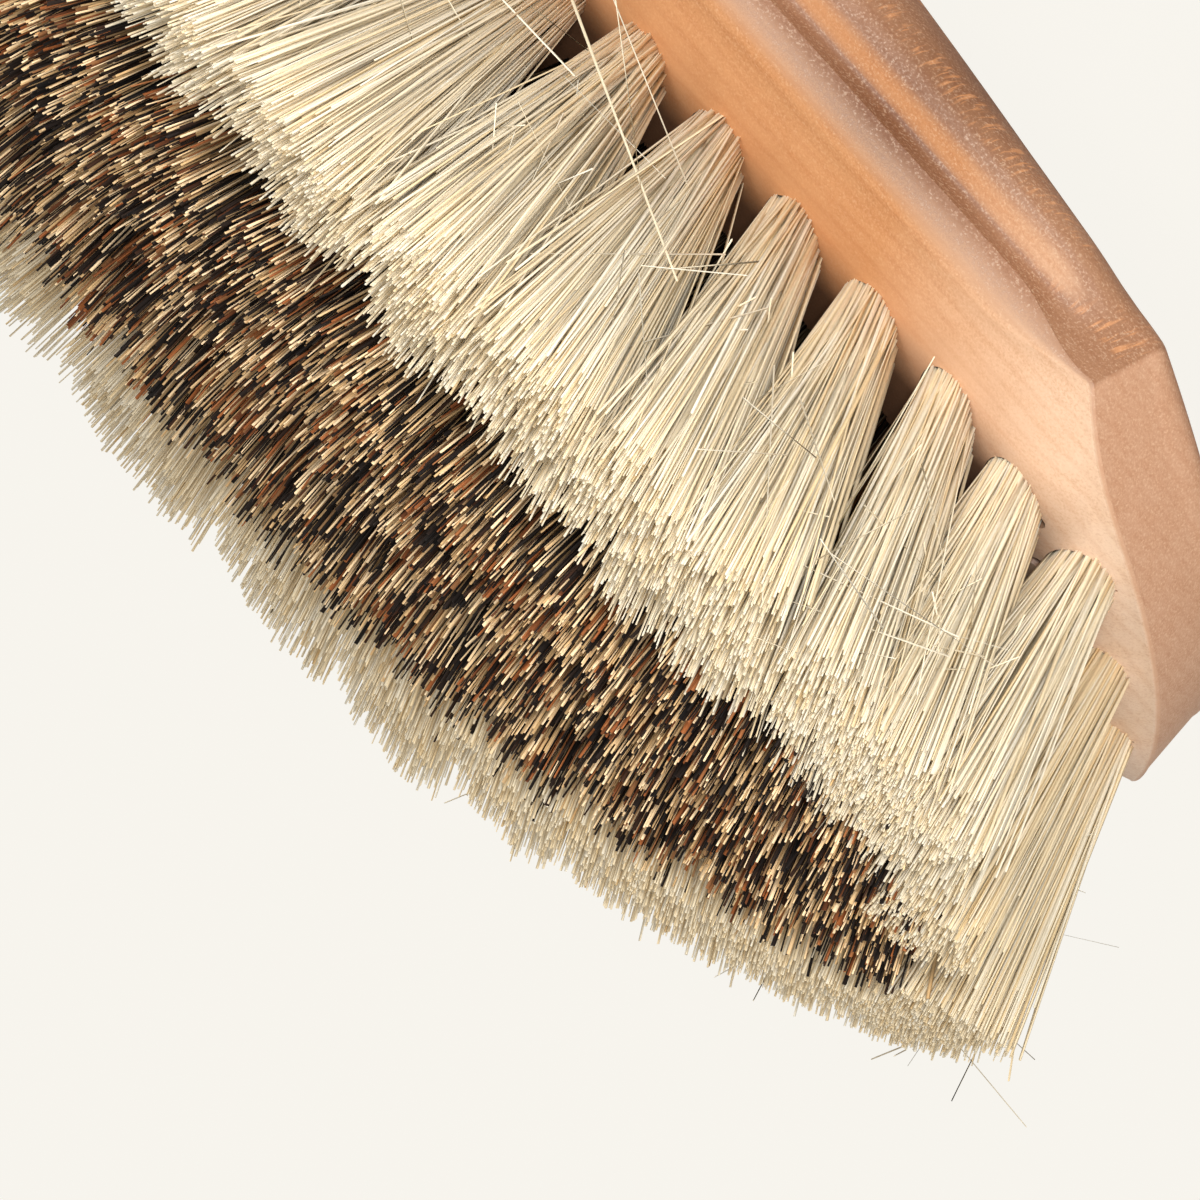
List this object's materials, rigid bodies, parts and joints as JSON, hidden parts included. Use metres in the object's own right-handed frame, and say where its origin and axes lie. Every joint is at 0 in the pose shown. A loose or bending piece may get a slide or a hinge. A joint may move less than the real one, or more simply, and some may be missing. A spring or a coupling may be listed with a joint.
{
  "type": "dandy brush",
  "caption": "Wooden grooming brush with a grooved solid block, stiff pale bristle tufts round the rim and darker tufts in the middle.",
  "frame": {"origin": "centre of the flat back, which is the lowest face: the brush lies on its back", "axes": "+X along the brush, +Y across it, +Z out of the back's opposite face, the way the bristles point"},
  "size_m": [0.2424, 0.0986, 0.0614],
  "materials": {
    "beech": "fine-sanded, waxed",
    "pale_fibre": "stiff natural plant fibre",
    "brown_fibre": "coarse natural plant fibre"
  },
  "bodies": {
    "root": {"block": "beech", "near_tuft_01": "pale_fibre", "near_tuft_02": "pale_fibre", "near_tuft_03": "pale_fibre", "near_tuft_04": "pale_fibre", "near_tuft_05": "pale_fibre", "near_tuft_06": "pale_fibre", "near_tuft_07": "pale_fibre", "near_tuft_08": "pale_fibre", "near_tuft_09": "pale_fibre", "near_tuft_10": "pale_fibre", "near_tuft_11": "pale_fibre", "near_tuft_12": "pale_fibre", "near_tuft_13": "pale_fibre", "near_tuft_14": "pale_fibre", "near_tuft_15": "pale_fibre", "far_tuft_01": "pale_fibre", "far_tuft_02": "pale_fibre", "far_tuft_03": "pale_fibre", "far_tuft_04": "pale_fibre", "far_tuft_05": "pale_fibre", "far_tuft_06": "pale_fibre", "far_tuft_07": "pale_fibre", "far_tuft_08": "pale_fibre", "far_tuft_09": "pale_fibre", "far_tuft_10": "pale_fibre", "far_tuft_11": "pale_fibre", "far_tuft_12": "pale_fibre", "far_tuft_13": "pale_fibre", "far_tuft_14": "pale_fibre", "far_tuft_15": "pale_fibre", "left_end_tuft_1": "pale_fibre", "left_end_tuft_2": "pale_fibre", "left_end_tuft_3": "pale_fibre", "left_end_tuft_4": "pale_fibre", "left_end_tuft_5": "pale_fibre", "right_end_tuft_1": "pale_fibre", "right_end_tuft_2": "pale_fibre", "right_end_tuft_3": "pale_fibre", "right_end_tuft_4": "pale_fibre", "right_end_tuft_5": "pale_fibre", "centre_row_near": "brown_fibre", "centre_row_middle": "brown_fibre", "centre_row_far": "brown_fibre"}
  },
  "joints": []
}
